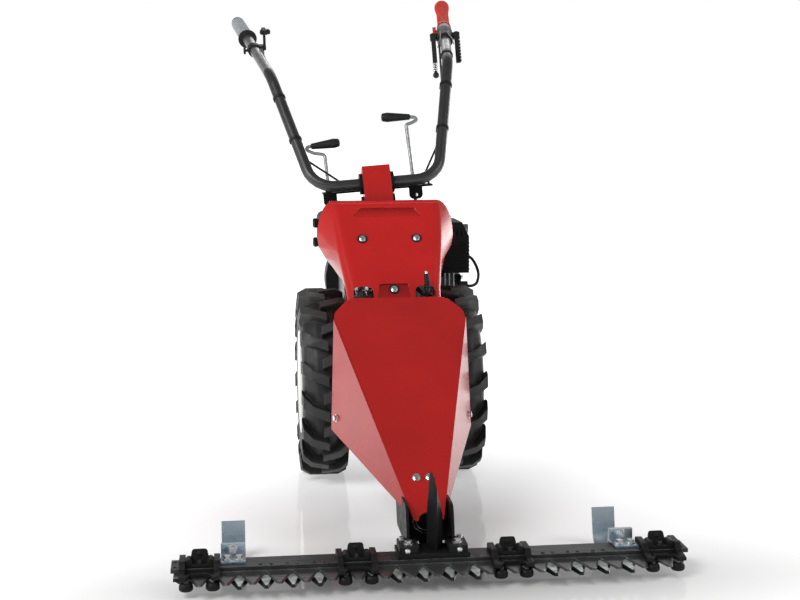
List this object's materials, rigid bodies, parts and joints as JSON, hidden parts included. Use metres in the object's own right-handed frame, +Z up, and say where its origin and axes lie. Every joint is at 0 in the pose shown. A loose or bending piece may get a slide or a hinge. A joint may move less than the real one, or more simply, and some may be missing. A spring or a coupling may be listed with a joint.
{
  "type": "sickle bar mower",
  "caption": "Walk-behind sickle bar mower: a reciprocating cutter bar on skids, sloping front shield, lugged drive wheels, rear engine under a hood and a bent handlebar with levers.",
  "frame": {"origin": "on the ground under the middle of the machine's box", "axes": "+Z up, -Y towards the cutter bar, +Y towards the grips, +X to the right as seen from the front of the bar"},
  "size_m": [0.888, 1.5034, 1.0796],
  "materials": {
    "bar_steel": "dark rolled steel",
    "bright_steel": "zinc plated",
    "blade_steel": "dark hardened steel with ground edges",
    "black_casting": "black painted casting",
    "black_paint": "satin black paint",
    "fasteners": "zinc plated",
    "red_paint": "glossy red enamel",
    "red_plastic": "glossy red moulding",
    "dark_red_paint": "red paint in shade",
    "cast_alloy": "sand cast alloy",
    "axle_steel": "turned steel",
    "rim_paint": "off-white enamel",
    "tyre_rubber": "dusty black rubber",
    "black_plastic": "grained black plastic",
    "plug_ceramic": "black boot",
    "cable_sheath": "black sheath",
    "bar_tube": "dark grey enamel",
    "grey_grip": "light grey ribbed rubber",
    "red_grip": "red rubber"
  },
  "bodies": {
    "chassis": {"cutter_bar": "bar_steel", "finger_plate": "bright_steel", "skid_left": "bright_steel", "skid_right": "bright_steel", "hold_downs": "black_casting", "lower_guards": "black_casting", "hitch_frame": "black_casting", "hitch_clamps": "black_casting", "crank_housing": "black_casting", "crop_divider": "black_paint", "drive_tube": "black_paint", "shield_bracket": "black_paint", "muffler_guard": "black_paint", "fuel_tank": "black_paint", "rod_guides": "black_paint", "clamp_discs": "black_paint", "valve_cover": "black_paint", "bar_bolts": "fasteners", "panel_bolts": "fasteners", "front_shield": "red_paint", "column": "red_paint", "hood": "red_plastic", "hood_bracket": "dark_red_paint", "gearbox": "cast_alloy", "crankcase": "cast_alloy", "cylinder": "cast_alloy", "air_filter": "black_plastic", "fan_housing": "black_plastic", "recoil_cover": "black_plastic", "starter_grip": "black_plastic", "spark_plug": "plug_ceramic", "plug_lead": "cable_sheath"},
    "wheels": {"axle": "axle_steel", "left_rim": "rim_paint", "right_rim": "rim_paint", "left_tyre": "tyre_rubber", "right_tyre": "tyre_rubber", "wheel_bolts": "fasteners"},
    "knife": {"knife_back": "blade_steel", "knife_sections": "blade_steel", "knife_head": "blade_steel"},
    "swing_arm": {"swing_arm": "black_casting"},
    "handlebar": {"handlebar": "bar_tube", "left_grip": "grey_grip", "right_grip": "red_grip", "throttle_bracket": "black_plastic", "clutch_bracket": "black_plastic", "cable_ties": "black_plastic", "throttle_cable": "cable_sheath", "clutch_cables": "cable_sheath"},
    "throttle_lever": {"throttle_lever": "black_plastic"},
    "clutch_lever": {"clutch_lever": "black_plastic"},
    "reverse_lever": {"reverse_lever": "black_plastic", "lever_spring": "fasteners"},
    "gear_lever": {"gear_rod": "bright_steel", "gear_knob": "black_plastic"},
    "knife_lever": {"knife_rod": "bright_steel", "knife_knob": "black_plastic"},
    "clamp_lever": {"clamp_lever": "black_plastic"},
    "fuel_cap": {"fuel_cap": "black_plastic"}
  },
  "joints": [
    {"name": "wheel_spin", "type": "hinge", "parent": "chassis", "child": "wheels", "pos_m": [0, 0.06828, 0.205], "axis": [1, 0, 0], "continuous": true},
    {"name": "knife_stroke", "type": "slide", "parent": "chassis", "child": "knife", "axis": [1, 0, 0], "range_m": [-0.022, 0.022]},
    {"name": "swing_arm_swing", "type": "hinge", "parent": "chassis", "child": "swing_arm", "pos_m": [0, -0.55872, 0.105], "axis": [0, 1, 0], "range_deg": [-22.3, 22.3]},
    {"name": "handlebar_tilt", "type": "hinge", "parent": "chassis", "child": "handlebar", "pos_m": [-0.01402, 0.12528, 0.63647], "axis": [0.9972, 0, 0.075], "range_deg": [-10, 14], "deforming": ["throttle_cable", "clutch_cables"]},
    {"name": "throttle_swing", "type": "hinge", "parent": "handlebar", "child": "throttle_lever", "pos_m": [-0.25028, 0.51207, 0.94928], "axis": [0.9875, 0.1389, 0.0743], "range_deg": [-30, 30]},
    {"name": "clutch_squeeze", "type": "hinge", "parent": "handlebar", "child": "clutch_lever", "pos_m": [0.22282, 0.49807, 0.97659], "axis": [-0.1561, -0.9251, 0.3462], "range_deg": [0, 22], "stiffness_Nm_per_rad": 0.6},
    {"name": "reverse_squeeze", "type": "hinge", "parent": "handlebar", "child": "reverse_lever", "pos_m": [0.16653, 0.50599, 0.97236], "axis": [-0.1561, -0.9251, 0.3462], "range_deg": [-22, 0], "stiffness_Nm_per_rad": 0.6},
    {"name": "gear_shift", "type": "slide", "parent": "chassis", "child": "gear_lever", "axis": [-0.0691, 0.3872, 0.9194], "range_m": [-0.015, 0.015]},
    {"name": "knife_engage", "type": "slide", "parent": "chassis", "child": "knife_lever", "axis": [-0.0691, 0.3872, 0.9194], "range_m": [0, 0.025]},
    {"name": "clamp_turn", "type": "hinge", "parent": "chassis", "child": "clamp_lever", "pos_m": [-0.01132, 0.11332, 0.60051], "axis": [0.9972, 0, 0.075], "range_deg": [-45, 0]},
    {"name": "fuel_cap_turn", "type": "hinge", "parent": "chassis", "child": "fuel_cap", "pos_m": [0.01, 0.24828, 0.591], "axis": [0, 0, 1], "range_deg": [0, 90]}
  ],
  "couplings": [
    {"joint": "swing_arm_swing", "follows": "knife_stroke", "rad_per_m": -17.544}
  ]
}
